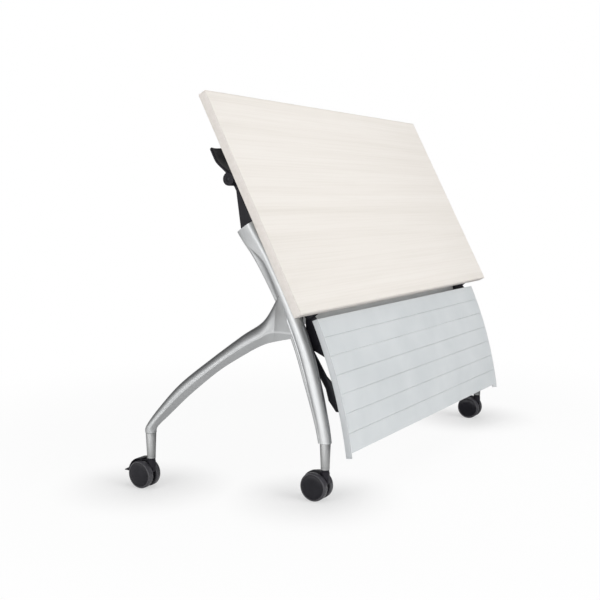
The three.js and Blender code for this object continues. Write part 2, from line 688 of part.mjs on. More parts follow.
// Modesty panel, drawn with its hinge axis at the origin in the flipped position.
const BOW_R = (PANEL_CHORD ** 2 / 4 + PANEL_BOW ** 2) / (2 * PANEL_BOW);
const BOW_HALF = Math.asin(PANEL_CHORD / 2 / BOW_R);
const DOWN = [-Math.sin(rad(PANEL_TILT)), -Math.cos(rad(PANEL_TILT))];
const REAR = [-DOWN[1], DOWN[0]];
const BOW_Y = -PANEL_AHEAD + (PANEL_CHORD / 2) * DOWN[0] + (BOW_R - PANEL_BOW) * REAR[0];
const BOW_Z = -PANEL_BELOW + (PANEL_CHORD / 2) * DOWN[1] + (BOW_R - PANEL_BOW) * REAR[1];

// A point of the panel's section: depth behind the front skin, and turn down the bow.
function bowed(depth, turn) {
  const r = BOW_R - depth;
  return [
    BOW_Y + r * (-REAR[0] * Math.cos(turn) + DOWN[0] * Math.sin(turn)),
    BOW_Z + r * (-REAR[1] * Math.cos(turn) + DOWN[1] * Math.sin(turn)),
  ];
}

function bowedRun(depth, from, to, steps) {
  return shares(steps).map((t) => bowed(depth, from + (to - from) * t));
}

const CAP_X = -PANEL_LENGTH / 2 + CAP_THICK;

// The turn down the bow at which a slat begins, with the last slat taller than the rest.
function slatEdge(i) {
  const heights = SLATS - 1 + LAST_SLAT_SHARE;
  const above = i < SLATS ? i : heights;
  return BOW_HALF * ((2 * above) / heights - 1);
}

function slat(i) {
  const from = slatEdge(i) + GAP / 2 / BOW_R;
  const to = slatEdge(i + 1) - GAP / 2 / BOW_R;
  const lip = SLAT_LIP / BOW_R;
  const ease = SLAT_CHAMFER / BOW_R;
  const profile = [
    bowed(SLAT_CHAMFER, from),
    ...bowedRun(0, from + ease, to - ease, 4),
    bowed(SLAT_CHAMFER, to),
    bowed(SLAT_DEPTH, to),
    bowed(SLAT_DEPTH, to - lip),
    ...bowedRun(SLAT_SKIN, to - lip, from + lip, 4),
    bowed(SLAT_DEPTH, from + lip),
    bowed(SLAT_DEPTH, from),
  ];
  const start = CAP_X + GAP;
  return piece("panel_slat_" + (i + 1), slab(profile, start, -2 * start), SILVER);
}

function endCap(name) {
  const over = CAP_OVERHANG / BOW_R;
  const front = bowedRun(0, -BOW_HALF, BOW_HALF + over, 10);
  const rear = bowedRun(CAP_DEPTH, BOW_HALF + over, -BOW_HALF, 10);
  return piece(name, slab([...front, ...rear], CAP_X - CAP_THICK, CAP_THICK), SILVER);
}

// Brace behind the panel: a hub on the hinge pin, a rail on the slats and a strut down to the foot.
function brace(name) {
  const x = BRACE_X - BRACE_THICK / 2;
  const seat = SLAT_DEPTH + GAP;
  const at = (depth, share) => bowed(depth, BOW_HALF * (2 * share - 1));
  const run = (depth, from, to, steps) => shares(steps).map((t) => at(depth, from + (to - from) * t));
  const outline = [
    [-0.4 * HINGE_R, 0.9 * HINGE_R],
    ...run(seat, 0.04, BRACE_FOOT_SHARE, 10),
    at(seat + 0.65 * STRUT_FOOT, BRACE_FOOT_SHARE - 0.02),
    at(seat + STRUT_FOOT, BRACE_FOOT_SHARE - 0.11),
    at(seat + STRUT_FOOT, BRACE_FOOT_SHARE - 0.2),
    at(seat + STRUT_STANDOFF, 0.18),
    [0.98 * HINGE_R, 0],
  ];
  const opening = [
    at(seat + RAIL_WIDTH, 0.3),
    ...run(seat + RAIL_WIDTH, 0.36, 0.52, 3),
    at(seat + 0.75 * STRUT_FOOT, 0.41),
    at(seat + STRUT_STANDOFF - STRUT_WIDTH, 0.19),
  ];
  const plate = solid(slab(outline, x, BRACE_THICK));
  const window = solid(slab(opening, x - CLEAR, BRACE_THICK + 2 * CLEAR));
  const hub = solid(rod(HINGE_R, x, BRACE_THICK, 0, 0));
  const bore = solid(rod(HINGE_PIN_R + RUN, x - CLEAR, BRACE_THICK + 2 * CLEAR, 0, 0, 16));
  return piece(name, plate.subtract(window).add(hub).subtract(bore), BLACK);
}

function bothSides(parent, build) {
  for (const [tag, mirror] of [["left", 1], ["right", -1]]) {
    const side = new THREE.Group();
    side.scale.x = mirror;
    build(side, tag);
    parent.add(side);
  }
}

const table = new THREE.Group();
table.name = "flip_top_table";

const top = new THREE.Group();
top.position.set(0, 0, PIVOT_Z);
top.rotation.x = rad(FLIP_SWING);
top.add(worktop(), edgeBand());
bothSides(top, (side, tag) => {
  side.add(hingeArm("hinge_arm_" + tag), lever("release_lever_" + tag), leverPin("lever_pin_" + tag));
  side.add(panelHinge("panel_hinge_" + tag), panelPin("panel_pin_" + tag));
});
table.add(top);

top.updateMatrix();
const panel = new THREE.Group();
panel.position.set(0, HINGE_Y, HINGE_Z).applyMatrix4(top.matrix);
for (let i = 0; i < SLATS; i += 1) panel.add(slat(i));
bothSides(panel, (side, tag) => side.add(endCap("panel_cap_" + tag), brace("panel_brace_" + tag)));
table.add(panel);

table.add(beam("cross_beam"));
bothSides(table, (side, tag) => {
  side.add(column("column_" + tag), rearLeg("rear_leg_" + tag), pivotPin("pivot_pin_" + tag));
  side.add(beamFlange("beam_flange_" + tag));
  side.add(foot("foot_front_" + tag, COLUMN_X, -WHEELBASE / 2));
  side.add(foot("foot_rear_" + tag, -REAR_TRACK / 2, WHEELBASE / 2));
  side.add(caster("caster_front_" + tag, COLUMN_X, -WHEELBASE / 2, false));
  side.add(caster("caster_rear_" + tag, -REAR_TRACK / 2, WHEELBASE / 2, true));
});

export default table;
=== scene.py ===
import math

import bmesh
import bpy
from mathutils import Matrix, Vector

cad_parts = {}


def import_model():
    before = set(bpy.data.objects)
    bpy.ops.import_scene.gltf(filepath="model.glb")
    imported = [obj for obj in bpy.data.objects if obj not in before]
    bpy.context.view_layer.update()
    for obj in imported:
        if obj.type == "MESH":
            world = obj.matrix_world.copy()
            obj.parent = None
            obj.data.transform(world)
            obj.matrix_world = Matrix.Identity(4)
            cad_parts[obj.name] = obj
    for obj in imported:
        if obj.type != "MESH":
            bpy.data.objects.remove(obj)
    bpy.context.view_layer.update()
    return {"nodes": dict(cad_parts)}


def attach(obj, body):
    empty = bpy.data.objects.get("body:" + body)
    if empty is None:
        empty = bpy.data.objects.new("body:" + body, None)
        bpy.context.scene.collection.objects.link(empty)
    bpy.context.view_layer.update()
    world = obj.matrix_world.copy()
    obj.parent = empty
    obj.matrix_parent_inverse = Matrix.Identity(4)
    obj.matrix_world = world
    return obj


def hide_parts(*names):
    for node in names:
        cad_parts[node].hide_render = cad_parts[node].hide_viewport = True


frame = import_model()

NODES = frame["nodes"]

# Sizes in millimetres, the same as in the solids.
MM = 0.001
TOP_LENGTH, TOP_DEPTH, TOP_THICK, EDGE_BAND = 1200, 600, 23, 2
PIVOT_DROP, PIVOT_FROM_FRONT, PIVOT_Z, FLIP_SWING = 71, 257, 656, 62.6
WHEELBASE, FRONT_TRACK, REAR_TRACK = 432, 1024, 1312
FOOT_GROUND, FOOT_LENGTH, FOOT_R, FOOT_TAPER = 80, 66.7, 13.5, 2.3
FOOT_TOP = FOOT_GROUND + FOOT_LENGTH
BAR_R, WEB_HALF, HUB_R, HEAD_HALF, ARM_THICK, SLOT_PLAY = 18, 10.5, 20, 22, 20, 1
SHOULDER, CUFF_FROM, CUFF_TO, CUFF_FLAT = 2, 0.62, 0.8, 0.75
LEG_SHARE, LEG_OUT, LEG_BEHIND, LEG_KEEL = 0.51, 3, 8, 0.45
LEG_CREASE, CREASE_ROOT, SCOOP_AT, SCOOP_DROP = 1 / 8, 0.1, 0.45, 0.7
PLATE_THICK, PLATE_WIDTH, PLATE_BEHIND = 6.5, 50, 46
ARM_SCREW_ROWS, ARM_SCREW_OFF = (-18, 45, 110, 172), 17.5
LEVER_REACH, LEVER_RISE, LEVER_PIN_R, BARREL_R, BARREL_WIDTH = 139, 22, 4, 17, 26
PADDLE_WIDTH, PADDLE_REACH, PADDLE_THICK, PADDLE_DISH = 50, 90, 8, 3.5
PADDLE_DROP, PADDLE_BEND, PADDLE_CORNER = 5, 0.7, 5
BEAM_R, BEAM_WALL, BEAM_CLEAR, BEAM_BEHIND, FLANGE_R, FLANGE_THICK = 17, 2.5, 4.2, 13, 22, 5
PANEL_INSET, PANEL_CHORD, PANEL_TILT, PANEL_BOW = 5, 346, 16.4, 12.5
PANEL_LENGTH = FRONT_TRACK - 2 * PANEL_INSET
PANEL_AHEAD, PANEL_BELOW, SLATS, LAST_SLAT = 36.3, 3.8, 7, 1.2
SLAT_SKIN, SLAT_LIP, SLAT_DEPTH, SLAT_CHAMFER = 2.2, 2, 10, 1.2
CAP_DEPTH, CAP_THICK, CAP_OVERHANG = 16, 4, 2.5
HINGE_INSET, HINGE_DROP, HINGE_R, HINGE_PIN_R = 7, 28, 10, 4
BRACE_THICK, HINGE_ASIDE, BRACE_FOOT, RAIL_WIDTH, EAR_THICK = 6, 0.6, 0.695, 8, 5.5
STRUT_STANDOFF, STRUT_WIDTH, STRUT_FOOT = 64, 18, 40
WHEEL_R, WHEEL_WIDTH, WHEEL_SPACING, TRAIL, AXLE_R = 36, 17, 12, 24, 4
NECK_R, HOOD_R, HOOD_EYE_R, WHEEL_ROOM, ROOM_DEPTH = 10.5, 39, 17, 1.5, 40
PEDAL_THICK, PEDAL_WIDTH, PEDAL_TAB = 3, 30, 16
GAP, RUN, SINK, PAST, PIN_PROUD = 0.3, 0.4, 1, 5, 1.5

COLUMN_X = -FRONT_TRACK / 2
ENDS = (("front", COLUMN_X, -WHEELBASE / 2), ("rear", -REAR_TRACK / 2, WHEELBASE / 2))
FRONT_EDGE = -PIVOT_FROM_FRONT
HINGE_Y = FRONT_EDGE + HINGE_INSET
HINGE_Z = PIVOT_DROP - HINGE_DROP
LEVER_X = COLUMN_X - ARM_THICK / 2 - RUN
BRACE_X = COLUMN_X + BAR_R + HINGE_ASIDE + PIN_PROUD + EAR_THICK + RUN + BRACE_THICK / 2
HOME = Matrix.Identity(4)
FLIP = Matrix.Translation((0, 0, PIVOT_Z)) @ Matrix.Rotation(math.radians(FLIP_SWING), 4, "X")
PANEL_PLACE = Matrix.Translation(FLIP @ Vector((0, HINGE_Y, HINGE_Z)))


# Shapes: each gives points in millimetres and faces.
def shares(count):
    return [i / count for i in range(count + 1)]


def lerp(a, b, t):
    return a + (b - a) * t


def smoothstep(t, low, high):
    s = max(0.0, min(1.0, (t - low) / (high - low)))
    return s * s * (3 - 2 * s)


def blend(rows, share):
    place = share * (len(rows) - 1)
    i = min(int(place), len(rows) - 2)
    t = place - i
    near = [rows[max(0, min(len(rows) - 1, i + k))] for k in (-1, 0, 1, 2)]
    values = []
    for a, b, c, d in zip(*near):
        bend = a - 2.5 * b + 2 * c - d / 2
        twist = 1.5 * (b - c) + (d - a) / 2
        values.append(b + t * ((c - a) / 2 + t * (bend + t * twist)))
    return values


def skin(rings, closed=False):
    count = len(rings[0])
    points = [p for ring in rings for p in ring]
    faces = []
    last = len(rings) if closed else len(rings) - 1
    for i in range(last):
        near, far = i * count, ((i + 1) % len(rings)) * count
        for j in range(count):
            k = (j + 1) % count
            faces.append((near + j, near + k, far + k, far + j))
    if not closed:
        faces.append(tuple(range(count)))
        faces.append(tuple(range((len(rings) - 1) * count, len(rings) * count)))
    return points, faces


def turned(profile, at=(0, 0, 0), along="Z", sides=64, closed=False):
    rings = []
    for r, h in profile:
        ring = []
        for k in range(sides):
            a, b = r * math.cos(math.tau * k / sides), r * math.sin(math.tau * k / sides)
            x, y, z = (h, a, b) if along == "X" else (a, b, h)
            ring.append((at[0] + x, at[1] + y, at[2] + z))
        rings.append(ring)
    return skin(rings, closed)


def rod(r, start, end, at=(0, 0, 0), sides=64):
    return turned([(0, start), (r, start), (r, end), (0, end)], at, "X", sides)


def slab(outline, x, depth):
    return skin([[(x, y, z) for y, z in outline], [(x + depth, y, z) for y, z in outline]])


def block(x0, x1, y0, y1, z0, z1):
    return slab([(y0, z0), (y1, z0), (y1, z1), (y0, z1)], x0, x1 - x0)


def arc(cy, cz, r, start, end, steps):
    turns = [math.radians(lerp(start, end, t)) for t in shares(steps)]
    return [(cy + r * math.cos(a), cz + r * math.sin(a)) for a in turns]


# Objects: built in place, in metres.
def build(name, shape, place=HOME):
    mesh = bpy.data.meshes.new(name)
    bm = bmesh.new()
    corners = [bm.verts.new((place @ Vector(p)) * MM) for p in shape[0]]
    for face in shape[1]:
        bm.faces.new([corners[i] for i in face])
    bmesh.ops.remove_doubles(bm, verts=bm.verts, dist=1e-6)
    bmesh.ops.recalc_face_normals(bm, faces=bm.faces)
    bm.to_mesh(mesh)
    bm.free()
    obj = bpy.data.objects.new(name, mesh)
    bpy.context.scene.collection.objects.link(obj)
    return obj


def soften(obj, width, steps=3, angle=40):
    bm = bmesh.new()
    bm.from_mesh(obj.data)
    sharp = [e for e in bm.edges if len(e.link_faces) == 2 and e.calc_face_angle(0) > math.radians(angle)]
    bmesh.ops.bevel(
        bm, geom=sharp, offset=width * MM, segments=steps, profile=0.5, affect="EDGES", clamp_overlap=True
    )
    bm.to_mesh(obj.data)
    bm.free()
    return obj


def settle(obj):
    bpy.context.view_layer.update()
    mesh = bpy.data.meshes.new_from_object(obj.evaluated_get(bpy.context.evaluated_depsgraph_get()))
    obj.modifiers.clear()
    old = obj.data
    obj.data = mesh
    bpy.data.meshes.remove(old)
    return obj


def combine(obj, other, how):
    step = obj.modifiers.new("combine", "BOOLEAN")
    step.operation = how
    step.solver = "EXACT"
    step.object = other
    settle(obj)
    bpy.data.objects.remove(other)
    return obj


def largest(obj):
    bm = bmesh.new()
    bm.from_mesh(obj.data)
    left = set(bm.verts)
    groups = []
    while left:
        queue = [left.pop()]
        group = set(queue)
        while queue:
            for edge in queue.pop().link_edges:
                for v in edge.verts:
                    if v not in group:
                        group.add(v)
                        queue.append(v)
        left -= group
        groups.append(group)
    keep = max(groups, key=len)
    bmesh.ops.delete(bm, geom=[v for v in bm.verts if v not in keep], context="VERTS")
    bm.to_mesh(obj.data)
    bm.free()
    return obj


def mirrored(obj, name):
    mesh = obj.data.copy()
    mesh.name = name
    mesh.transform(Matrix.Scale(-1, 4, (1, 0, 0)))
    mesh.flip_normals()
    twin = bpy.data.objects.new(name, mesh)
    bpy.context.scene.collection.objects.link(twin)
    return twin


def fit(obj, body, finish, nodes=(), angle=35):
    slot, material = finish
    obj.data.polygons.foreach_set("use_smooth", [True] * len(obj.data.polygons))
    obj.data.set_sharp_from_angle(angle=math.radians(angle))
    obj.data.materials.clear()
    obj.data.materials.append(material)
    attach(obj, body)
    if nodes:
        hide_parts(*nodes)
    return obj


# A piece and its mirror image. Names, bodies and nodes hold {} where the side goes.
def both(obj, name, body, finish, nodes=(), angle=35):
    obj.name = name.format("left")
    twin = mirrored(obj, name.format("right"))
    for side, one in (("left", obj), ("right", twin)):
        fit(one, body.format(side), finish, [n.format(side) for n in nodes], angle)


# Materials.
def shader(name, metallic=0.0, roughness=0.5, **sockets):
    material = bpy.data.materials.new(name)
    material.use_nodes = True
    tree = material.node_tree
    bsdf = tree.nodes["Principled BSDF"]
    bsdf.inputs["Metallic"].default_value = metallic
    bsdf.inputs["Roughness"].default_value = roughness
    for key, value in sockets.items():
        bsdf.inputs[key.replace("_", " ")].default_value = value
    return material, tree, bsdf


def noise(tree, scale, stretch=(1, 1, 1), detail=3.0, rough=0.5):
    where = tree.nodes.new("ShaderNodeTexCoord")
    mapping = tree.nodes.new("ShaderNodeMapping")
    mapping.inputs["Scale"].default_value = stretch
    texture = tree.nodes.new("ShaderNodeTexNoise")
    texture.inputs["Scale"].default_value = scale
    texture.inputs["Detail"].default_value = detail
    texture.inputs["Roughness"].default_value = rough
    tree.links.new(where.outputs["Object"], mapping.inputs["Vector"])
    tree.links.new(mapping.outputs["Vector"], texture.inputs["Vector"])
    return texture.outputs["Fac"]


def ramp(tree, value, stops):
    node = tree.nodes.new("ShaderNodeValToRGB")
    elements = node.color_ramp.elements
    while len(elements) < len(stops):
        elements.new(0.5)
    for element, (place, colour) in zip(elements, stops):
        element.position = place
        element.color = (*colour, 1)
    tree.links.new(value, node.inputs["Fac"])
    return node.outputs["Color"]


def greys(tree, value, stops):
    return ramp(tree, value, [(place, (level, level, level)) for place, level in stops])


def scaled(tree, value, low, high, start=0.0, end=1.0, how="LINEAR"):
    node = tree.nodes.new("ShaderNodeMapRange")
    node.interpolation_type = how
    for key, limit in (("From Min", start), ("From Max", end), ("To Min", low), ("To Max", high)):
        node.inputs[key].default_value = limit
    tree.links.new(value, node.inputs["Value"])
    return node.outputs["Result"]


def maths(tree, how, *values):
    node = tree.nodes.new("ShaderNodeMath")
    node.operation = how
    for value, socket in zip(values, node.inputs):
        tree.links.new(value, socket)
    return node.outputs[0]


def vector_maths(tree, how, vector, other=None):
    node = tree.nodes.new("ShaderNodeVectorMath")
    node.operation = how
    tree.links.new(vector, node.inputs[0])
    if other is not None:
        node.inputs[1].default_value = other
    return node.outputs["Vector" if how == "NORMALIZE" else "Value"]


def mixed(tree, factor, first, second, how="MIX"):
    node = tree.nodes.new("ShaderNodeMix")
    node.data_type = "RGBA"
    node.blend_type = how
    if isinstance(factor, float):
        node.inputs["Factor"].default_value = factor
    else:
        tree.links.new(factor, node.inputs["Factor"])
    tree.links.new(first, node.inputs[6])
    tree.links.new(second, node.inputs[7])
    return node.outputs[2]


def bump(tree, bsdf, height, strength, distance):
    node = tree.nodes.new("ShaderNodeBump")
    node.inputs["Strength"].default_value = strength
    node.inputs["Distance"].default_value = distance
    tree.links.new(height, node.inputs["Height"])
    tree.links.new(node.outputs["Normal"], bsdf.inputs["Normal"])


def laminate():
    material, tree, bsdf = shader("laminate", 0.0, 0.42)
    broad = ramp(tree, noise(tree, 1, (0.5, 26, 26), 2), [
        (0.3, (0.80, 0.762, 0.712)), (0.5, (0.83, 0.792, 0.745)), (0.7, (0.85, 0.815, 0.77)),
    ])
    fine = noise(tree, 1, (2.5, 240, 240), 4, 0.6)
    veins = ramp(tree, fine, [(0.36, (0.95, 0.945, 0.935)), (0.55, (1, 1, 1))])
    tree.links.new(mixed(tree, 0.7, broad, veins, "MULTIPLY"), bsdf.inputs["Base Color"])
    tree.links.new(scaled(tree, fine, 0.36, 0.5), bsdf.inputs["Roughness"])
    bump(tree, bsdf, fine, 0.06, 0.0006)
    return material


def edging():
    material, tree, bsdf = shader("edging", 0.0, 0.45)
    streaks = noise(tree, 1, (4, 120, 120), 3)
    colour = ramp(tree, streaks, [(0.3, (0.745, 0.70, 0.655)), (0.7, (0.80, 0.755, 0.715))])
    tree.links.new(colour, bsdf.inputs["Base Color"])
    tree.links.new(scaled(tree, streaks, 0.4, 0.52), bsdf.inputs["Roughness"])
    bump(tree, bsdf, noise(tree, 900, detail=2), 0.05, 0.0004)
    return material


def metal(name, low, high, metallic, rough, grain, stretch, depth, spread):
    material, tree, bsdf = shader(name, metallic, rough)
    cloud = noise(tree, 9, detail=2)
    tree.links.new(ramp(tree, cloud, [(0.3, low), (0.7, high)]), bsdf.inputs["Base Color"])
    fibre = noise(tree, grain, stretch, 3, 0.6)
    tree.links.new(scaled(tree, fibre, rough - spread, rough + spread), bsdf.inputs["Roughness"])
    bump(tree, bsdf, fibre, depth, 0.0004)
    return material


def plastic(name, low, high, rough, grain, depth, shine):
    material, tree, bsdf = shader(name, 0.0, rough, Specular_IOR_Level=shine)
    cloud = noise(tree, 40, detail=4)
    tree.links.new(ramp(tree, cloud, [(0.3, low), (0.7, high)]), bsdf.inputs["Base Color"])
    pores = noise(tree, grain, detail=2)
    tree.links.new(scaled(tree, pores, rough - 0.06, rough + 0.08), bsdf.inputs["Roughness"])
    bump(tree, bsdf, pores, depth, 0.0004)
    return material


def cast(name, low, high):
    return metal(name, low, high, 0.9, 0.29, 420, (1, 1, 1), 0.004, 0.015)


def brushed(name, low, high, metallic, rough, stretch):
    return metal(name, low, high, metallic, rough, 1, stretch, 0.05, 0.065)


# Finishes: the slot of the record and the material.
LAMINATE = ("laminate", laminate())
EDGING = ("edging", edging())
CASTING = ("casting", cast("casting", (0.56, 0.57, 0.575), (0.62, 0.63, 0.635)))
# The rear legs use a darker copy of the column casting: painted shade, the same metal made darker.
LEG_SHADED_CASTING = ("casting", cast("leg_casting", (0.40, 0.408, 0.412), (0.445, 0.453, 0.457)))
TUBE = ("foot_tube", brushed(
    "foot_tube", (0.36, 0.365, 0.365), (0.43, 0.435, 0.435), 0.95, 0.3, (900, 900, 30)
))
BEAM = ("casting", brushed(
    "beam_tube", (0.60, 0.60, 0.60), (0.66, 0.66, 0.66), 0.3, 0.4, (30, 900, 900)
))
SILVER = ("panel_silver", brushed(
    "panel_silver", (0.715, 0.75, 0.765), (0.775, 0.805, 0.82), 0.2, 0.42, (14, 900, 900)
))
# The end caps use a darker copy of the panel silver: painted shade on their sideways faces.
CAP_SHADED_SILVER = ("panel_silver", brushed(
    "cap_shaded_silver", (0.50, 0.52, 0.535), (0.55, 0.57, 0.585), 0.2, 0.42, (900, 900, 14)
))
# The rim bead uses a lighter copy of the panel silver: painted highlight on the cap's front edge.
RIM_HIGHLIGHT_SILVER = ("panel_silver", brushed(
    "cap_rim_silver", (0.86, 0.88, 0.89), (0.9, 0.92, 0.93), 0.2, 0.3, (900, 900, 14)
))
STEEL = ("steel", brushed(
    "steel", (0.48, 0.48, 0.49), (0.58, 0.58, 0.59), 1.0, 0.28, (40, 900, 900)
))
DARK_STEEL = ("dark_steel", brushed(
    "dark_steel", (0.04, 0.04, 0.045), (0.06, 0.06, 0.065), 1.0, 0.36, (40, 900, 900)
))
BLACK = ("black_plastic", plastic(
    "black_plastic", (0.009, 0.0085, 0.012), (0.015, 0.014, 0.0195), 0.38, 1500, 0.1, 0.25
))
WHEEL = ("wheel_black", plastic(
    "wheel_black", (0.01, 0.0095, 0.013), (0.016, 0.0155, 0.02), 0.18, 600, 0.02, 0.25
))
# The tread's grey, lighter than the disc, is partly its own grey and partly painted sheen for the glints
# along the rim.
TREAD = ("wheel_black", plastic(
    "wheel_tread", (0.042, 0.041, 0.047), (0.054, 0.053, 0.06), 0.12, 600, 0.02, 0.6
))


# Columns and rear legs.
COLUMN = [
    (0, 0, 1.19 * FOOT_R, 1.15 * FOOT_R, 1.15 * FOOT_R, 1.22 * FOOT_R, 0.25 * BAR_R),
    (0.04, 0.1, 0.9 * BAR_R, 1.24 * WEB_HALF, 1.1 * WEB_HALF, 2 * WEB_HALF, 0.54 * BAR_R),
    (0.152, 0.29, 0.98 * BAR_R, WEB_HALF, 0.8 * WEB_HALF, 1.55 * BAR_R, 0.79 * BAR_R),
    (0.297, 0.48, BAR_R, 1.05 * WEB_HALF, 0.75 * WEB_HALF, 1.65 * BAR_R, 0.81 * BAR_R),
    (0.51, 0.68, BAR_R, 1.25 * WEB_HALF, 0.6 * WEB_HALF, 1.8 * BAR_R, 0.7 * BAR_R),
    (0.74, 0.86, BAR_R, 1.35 * WEB_HALF, 0.55 * WEB_HALF, 1.8 * HUB_R, 0.4 * BAR_R),
    (0.9, 0.97, 0.96 * HEAD_HALF, 0.64 * HEAD_HALF, 0.62 * HEAD_HALF, 1.92 * HUB_R, 1.65 * BAR_R),
    (1, 1.04, HEAD_HALF, 0.74 * HEAD_HALF, 0.72 * HEAD_HALF, 2 * HUB_R, 1.9 * BAR_R),
]
LEG = [
    (0.06, 1.24, -0.07, 0.84, BAR_R, 0.03),
    (0.1, 1.14, 0.11, 0.8, BAR_R, 0.235),
    (0.19, 0.965, 0.2, 0.765, BAR_R, 0.36),
    (0.34, 0.84, 0.32, 0.685, 0.92 * BAR_R, 0.43),
    (0.56, 0.64, 0.5, 0.545, 1.15 * FOOT_R, 0.43),
    (0.78, 0.425, 0.705, 0.34, 1.07 * FOOT_R, 0.45),
    (0.94, 0.21, 0.86, 0.16, 1.04 * FOOT_R, 0.47),
    (1.03, 0.06, 0.95, 0.05, 1.04 * FOOT_R, 0.5),
    (1.04, 0, 0.96, 0, 1.04 * FOOT_R, 0.5),
]


def column_at(share):
    back, up, *section = blend(COLUMN, share)
    return Vector((COLUMN_X, (back - 1) * WHEELBASE / 2, lerp(FOOT_TOP, PIVOT_Z, up))), section


def column_along(share):
    if share == 0:
        return Vector((0, 0, 1))
    step = 0.02
    return (column_at(min(share + step, 1))[0] - column_at(max(share - step, 0))[0]).normalized()


# Point on the hollow side of the web, a smooth curve through its root, scoop and tail.
def scoop_point(root, end, t):
    rise = (1 - SCOOP_DROP) ** (math.log(1 - t) / math.log(1 - SCOOP_AT))
    return lerp(root[0], end[0], t), lerp(end[1], root[1], rise)


def column_ring(share):
    centre, (bar, web, tail, reach, edge) = column_at(share)
    along = column_along(share)
    rearward = Vector((0, along.z, -along.y))
    flat = CUFF_FLAT * smoothstep(share, CUFF_FROM, CUFF_TO)
    last = math.acos(-min(edge / bar, 0.95))
    side = []
    for t in shares(21)[1:]:
        turn = last * t
        behind = turn > math.pi / 2
        u = edge * math.cos(turn) / math.cos(last) if behind else -bar * math.cos(turn)
        w = bar * math.sin(turn)
        side.append((u, lerp(w, bar, flat) if behind else w))
    shoulder = edge + SHOULDER
    nose = 0.98 * min(tail, reach - shoulder - GAP)
    side.append((shoulder, web))
    side += [scoop_point((shoulder, web), (reach - nose, tail), t) for t in (0.15, 0.3, 0.45, 0.6, 0.8)]
    for turn in range(0, 90, 12):
        a = math.radians(turn)
        side.append((reach - nose + nose * math.sin(a), tail * math.cos(a)))
    outline = [(-bar, 0), *side, (reach, 0), *[(u, -w) for u, w in reversed(side)]]
    return [centre + rearward * u + Vector((w, 0, 0)) for u, w in outline]


def column_body(name):
    return build(name, skin([column_ring(t) for t in shares(72)]))


def columns():
    mouth, along = column_at(1)[0], column_along(1)
    depth = Vector((0, mouth.y, mouth.z - PIVOT_Z)).dot(along) + HUB_R + 2 * SLOT_PLAY
    half = ARM_THICK / 2 + SLOT_PLAY
    tilt = Matrix.Translation(mouth) @ Matrix.Rotation(-math.atan2(along.y, along.z), 4, "X")
    slot = build("slot", block(-half, half, -4 * HUB_R, 4 * HUB_R, -depth, depth), tilt)
    body = combine(column_body("column"), slot, "DIFFERENCE")
    both(body, "column_casting_{}", "frame", CASTING, ["column_{}"], 50)


def leg_half(ridge, straight):
    bevel = [(0, 0), (0, LEG_KEEL / 2), (0, LEG_KEEL)]
    bevel += [(ridge * t, lerp(LEG_KEEL, 1, t)) for t in (0.25, 0.5, 0.75, 0.93, 1)]
    back = []
    for t in (0.06, 0.14, 0.25, 0.375, 0.5, 0.625, 0.75, 0.875, 1):
        height = math.sin(t * math.pi / 2)
        back.append((lerp(ridge, 1, height), lerp(math.cos(t * math.pi / 2), 1 - height, straight)))
    return bevel + back


def leg_ring(share):
    out_u, up_u, out_l, up_l, half, ridge = blend(LEG, share)
    half *= lerp(CREASE_ROOT, 1, min(share / LEG_CREASE, 1))
    root = column_at(LEG_SHARE)[0] + Vector((-LEG_OUT, LEG_BEHIND, 0))
    run = Vector((-REAR_TRACK / 2 - root.x, WHEELBASE / 2 - root.y, 0))
    sideways = Vector((-run.y, run.x, 0)).normalized()

    def at(out, up):
        spot = root + run * out
        return Vector((spot.x, spot.y, lerp(FOOT_TOP, root.z, up)))

    upper, lower = at(out_u, up_u), at(out_l, up_l)
    rounded = smoothstep(share, 0.75, 1)
    table = leg_half(ridge, 1 - smoothstep(share, 0, 0.2))
    side = []
    for k, (height, width) in enumerate(table):
        turn = math.pi * k / (len(table) - 1)
        t = lerp(height, 0.5 - 0.5 * math.cos(turn), rounded)
        side.append((t, half * lerp(width, math.sin(turn), rounded)))
    back = [(t, -w) for t, w in reversed(side[1:-1])]
    return [lower.lerp(upper, t) + sideways * w for t, w in side + back]


def rear_legs():
    whole = build("leg", skin([leg_ring(t) for t in shares(240)]))
    leg = largest(combine(whole, column_body("trim"), "DIFFERENCE"))
    both(leg, "rear_leg_casting_{}", "frame", LEG_SHADED_CASTING, ["rear_leg_{}"], 28)


def feet():
    top = FOOT_LENGTH - GAP
    low = FOOT_R - FOOT_TAPER
    profile = [
        (0, 0.6), (low - 1.2, 0.6), (low - 1.2, 0), (low - 0.4, 0), (low, 0.4), (low, 6), (low - 0.35, 6.3),
        (low - 0.35, 7), (low, 7.3), (low, top / 8), (FOOT_R, top - 1.5), (FOOT_R - 0.3, top - 0.6),
        (FOOT_R - 1, top), (0, top),
    ]
    for end, x, y in ENDS:
        foot = build("foot", turned(profile, (x, y, FOOT_GROUND)))
        both(foot, f"foot_tube_{end}_{{}}", "frame", TUBE, [f"foot_{end}_{{}}"])


def column_share_at(y):
    low, high = 0, 1
    for _ in range(40):
        middle = (low + high) / 2
        low, high = (middle, high) if column_at(middle)[0].y < y else (low, middle)
    return low


